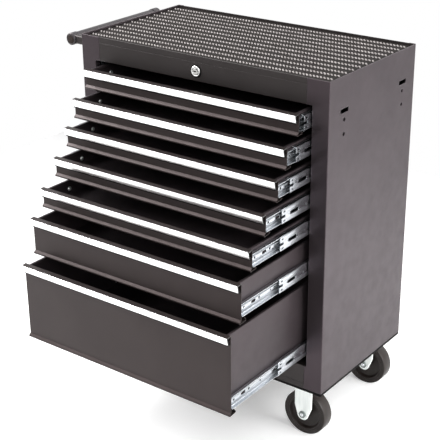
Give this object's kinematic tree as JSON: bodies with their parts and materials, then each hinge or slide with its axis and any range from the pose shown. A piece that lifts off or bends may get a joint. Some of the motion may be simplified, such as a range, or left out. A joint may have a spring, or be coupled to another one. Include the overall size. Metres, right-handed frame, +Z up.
{
  "type": "tool cart",
  "caption": "Steel workshop tool cart on casters: stepped sliding drawers with bright handle trims, a tray top with a ribbed mat, a keyed lock and a push handle on one side.",
  "frame": {"origin": "middle of the outer box in plan, on the floor under the wheels, with the drawers pulled out as pictured", "axes": "+X along the front to the cart's right, +Y from the front to the back, so the drawers pull out along -Y, +Z up"},
  "size_m": [0.6804, 0.5892, 0.79],
  "materials": {
    "black_paint": "semi-gloss black powder coat",
    "aluminium_trim": "bright satin anodised aluminium",
    "zinc_plate": "bright zinc plate",
    "mat_rubber": "dark grey ribbed rubber",
    "wheel_rubber": "dark brown-black moulded wheel",
    "handle_paint": "dark grey satin paint",
    "lock_chrome": "bright chrome plate"
  },
  "bodies": {
    "cabinet": {"side_panel_left": "black_paint", "side_panel_right": "black_paint", "back_panel": "black_paint", "floor_panel": "black_paint", "bottom_rail": "black_paint", "apron": "black_paint", "top_tray": "black_paint", "tray_mat": "mat_rubber", "slide_rack_left": "zinc_plate", "slide_rack_right": "zinc_plate", "handle_tube": "handle_paint", "handle_bracket_front": "black_paint", "handle_bracket_rear": "black_paint", "rigid_fork_front": "zinc_plate", "rigid_fork_rear": "zinc_plate", "axle_right_front": "zinc_plate", "axle_right_rear": "zinc_plate", "swivel_plate_front": "zinc_plate", "swivel_plate_rear": "zinc_plate"},
    "drawer_1_body": {"drawer_1": "black_paint", "drawer_1_trim": "aluminium_trim"},
    "drawer_2_body": {"drawer_2": "black_paint", "drawer_2_trim": "aluminium_trim"},
    "drawer_3_body": {"drawer_3": "black_paint", "drawer_3_trim": "aluminium_trim"},
    "drawer_4_body": {"drawer_4": "black_paint", "drawer_4_trim": "aluminium_trim"},
    "drawer_5_body": {"drawer_5": "black_paint", "drawer_5_trim": "aluminium_trim"},
    "drawer_6_body": {"drawer_6": "black_paint", "drawer_6_trim": "aluminium_trim"},
    "drawer_7_body": {"drawer_7": "black_paint", "drawer_7_trim": "aluminium_trim"},
    "rails_1": {"middle_rail_1_left": "zinc_plate", "middle_rail_1_right": "zinc_plate"},
    "rails_2": {"middle_rail_2_left": "zinc_plate", "middle_rail_2_right": "zinc_plate"},
    "rails_3": {"middle_rail_3_left": "zinc_plate", "middle_rail_3_right": "zinc_plate"},
    "rails_4": {"middle_rail_4_left": "zinc_plate", "middle_rail_4_right": "zinc_plate"},
    "rails_5": {"middle_rail_5_left": "zinc_plate", "middle_rail_5_right": "zinc_plate"},
    "rails_6": {"middle_rail_6_left": "zinc_plate", "middle_rail_6_right": "zinc_plate"},
    "rails_7": {"middle_rail_7_left": "zinc_plate", "middle_rail_7_right": "zinc_plate"},
    "lock": {"lock_cylinder": "lock_chrome"},
    "rod": {"lock_rod": "zinc_plate"},
    "bar": {"lock_bar": "zinc_plate"},
    "swivel_front": {"swivel_fork_front": "zinc_plate", "axle_left_front": "zinc_plate"},
    "swivel_rear": {"swivel_fork_rear": "zinc_plate", "axle_left_rear": "zinc_plate"},
    "left_front_wheel": {"wheel_left_front": "wheel_rubber"},
    "left_rear_wheel": {"wheel_left_rear": "wheel_rubber"},
    "right_front_wheel": {"wheel_right_front": "wheel_rubber"},
    "right_rear_wheel": {"wheel_right_rear": "wheel_rubber"},
    "pedal_front": {"brake_pedal_front": "black_paint"},
    "pedal_rear": {"brake_pedal_rear": "black_paint"}
  },
  "joints": [
    {"name": "drawer_1_slide", "type": "slide", "parent": "cabinet", "child": "drawer_1_body", "axis": [0, -1, 0], "range_m": [-0.037, 0.253]},
    {"name": "drawer_2_slide", "type": "slide", "parent": "cabinet", "child": "drawer_2_body", "axis": [0, -1, 0], "range_m": [-0.075, 0.215]},
    {"name": "drawer_3_slide", "type": "slide", "parent": "cabinet", "child": "drawer_3_body", "axis": [0, -1, 0], "range_m": [-0.103, 0.187]},
    {"name": "drawer_4_slide", "type": "slide", "parent": "cabinet", "child": "drawer_4_body", "axis": [0, -1, 0], "range_m": [-0.142, 0.148]},
    {"name": "drawer_5_slide", "type": "slide", "parent": "cabinet", "child": "drawer_5_body", "axis": [0, -1, 0], "range_m": [-0.185, 0.105]},
    {"name": "drawer_6_slide", "type": "slide", "parent": "cabinet", "child": "drawer_6_body", "axis": [0, -1, 0], "range_m": [-0.219, 0.071]},
    {"name": "drawer_7_slide", "type": "slide", "parent": "cabinet", "child": "drawer_7_body", "axis": [0, -1, 0], "range_m": [-0.252, 0.038]},
    {"name": "rails_1_slide", "type": "slide", "parent": "cabinet", "child": "rails_1", "axis": [0, -1, 0], "range_m": [-0.0248, 0.1696]},
    {"name": "rails_2_slide", "type": "slide", "parent": "cabinet", "child": "rails_2", "axis": [0, -1, 0], "range_m": [-0.0503, 0.1441]},
    {"name": "rails_3_slide", "type": "slide", "parent": "cabinet", "child": "rails_3", "axis": [0, -1, 0], "range_m": [-0.0691, 0.1253]},
    {"name": "rails_4_slide", "type": "slide", "parent": "cabinet", "child": "rails_4", "axis": [0, -1, 0], "range_m": [-0.0952, 0.0992]},
    {"name": "rails_5_slide", "type": "slide", "parent": "cabinet", "child": "rails_5", "axis": [0, -1, 0], "range_m": [-0.1, 0.0568]},
    {"name": "rails_6_slide", "type": "slide", "parent": "cabinet", "child": "rails_6", "axis": [0, -1, 0], "range_m": [-0.1008, 0.0327]},
    {"name": "rails_7_slide", "type": "slide", "parent": "cabinet", "child": "rails_7", "axis": [0, -1, 0], "range_m": [-0.1009, 0.0153]},
    {"name": "lock_turn", "type": "hinge", "parent": "cabinet", "child": "lock", "pos_m": [0.03025, -0.0354, 0.759], "axis": [0, -1, 0], "range_deg": [0, 90]},
    {"name": "lock_rod_slide", "type": "slide", "parent": "cabinet", "child": "rod", "axis": [0, 1, 0], "range_m": [0, 0.008]},
    {"name": "lock_bar_slide", "type": "slide", "parent": "cabinet", "child": "bar", "axis": [0, 0, 1], "range_m": [0, 0.008]},
    {"name": "right_front_wheel_spin", "type": "hinge", "parent": "cabinet", "child": "right_front_wheel", "pos_m": [0.28725, 0.0026, 0.05], "axis": [0, 1, 0], "continuous": true},
    {"name": "right_rear_wheel_spin", "type": "hinge", "parent": "cabinet", "child": "right_rear_wheel", "pos_m": [0.28725, 0.2566, 0.05], "axis": [0, 1, 0], "continuous": true},
    {"name": "front_swivel", "type": "hinge", "parent": "cabinet", "child": "swivel_front", "pos_m": [-0.22275, 0.0026, 0.1134], "axis": [0, 0, 1], "continuous": true},
    {"name": "rear_swivel", "type": "hinge", "parent": "cabinet", "child": "swivel_rear", "pos_m": [-0.22275, 0.2566, 0.1134], "axis": [0, 0, 1], "continuous": true},
    {"name": "left_front_wheel_spin", "type": "hinge", "parent": "swivel_front", "child": "left_front_wheel", "pos_m": [-0.25475, 0.0026, 0.05], "axis": [0, 1, 0], "continuous": true},
    {"name": "left_rear_wheel_spin", "type": "hinge", "parent": "swivel_rear", "child": "left_rear_wheel", "pos_m": [-0.25475, 0.2566, 0.05], "axis": [0, 1, 0], "continuous": true},
    {"name": "front_brake", "type": "hinge", "parent": "swivel_front", "child": "pedal_front", "pos_m": [-0.26275, 0.0026, 0.105], "axis": [0, -1, 0], "range_deg": [0, 15]},
    {"name": "rear_brake", "type": "hinge", "parent": "swivel_rear", "child": "pedal_rear", "pos_m": [-0.26275, 0.2566, 0.105], "axis": [0, -1, 0], "range_deg": [0, 15]}
  ],
  "couplings": [
    {"joint": "rails_1_slide", "follows": "drawer_1_slide", "ratio": 0.67},
    {"joint": "rails_2_slide", "follows": "drawer_2_slide", "ratio": 0.67},
    {"joint": "rails_3_slide", "follows": "drawer_3_slide", "ratio": 0.67},
    {"joint": "rails_4_slide", "follows": "drawer_4_slide", "ratio": 0.67},
    {"joint": "rails_5_slide", "follows": "drawer_5_slide", "ratio": 0.54},
    {"joint": "rails_6_slide", "follows": "drawer_6_slide", "ratio": 0.46},
    {"joint": "rails_7_slide", "follows": "drawer_7_slide", "ratio": 0.4},
    {"joint": "lock_rod_slide", "follows": "lock_bar_slide", "ratio": 1},
    {"joint": "lock_turn", "follows": "lock_bar_slide", "rad_per_m": 196.3}
  ]
}
